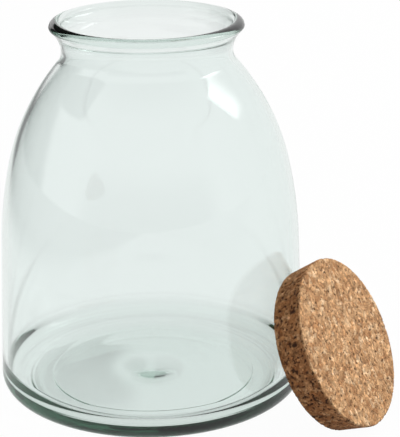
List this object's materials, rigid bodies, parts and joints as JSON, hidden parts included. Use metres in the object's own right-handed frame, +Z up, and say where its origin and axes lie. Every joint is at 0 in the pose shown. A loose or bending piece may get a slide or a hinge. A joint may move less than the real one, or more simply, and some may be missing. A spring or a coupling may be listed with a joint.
{
  "type": "glass storage jar with cork lid",
  "caption": "Clear pale green glass storage jar with rounded shoulders, flared neck and rounded lip, shown open with its tapered cork lid standing beside it and leaning on the wall.",
  "frame": {"origin": "centre of the ring that the jar stands on, on the surface under it", "axes": "+Z up along the jar's axis and out of its mouth; +X from the jar's axis towards the leaning cork lid"},
  "size_m": [0.2615, 0.1984, 0.245],
  "materials": {
    "glass": "gloss",
    "cork": "matte"
  },
  "bodies": {
    "jar": {"glass_jar": "glass"},
    "lid": {"cork_lid": "cork"}
  },
  "joints": [
    {"name": "lid_lift", "type": "slide", "parent": "jar", "child": "lid", "axis": [0, 0, 1], "range_m": [0, 0.26]}
  ]
}
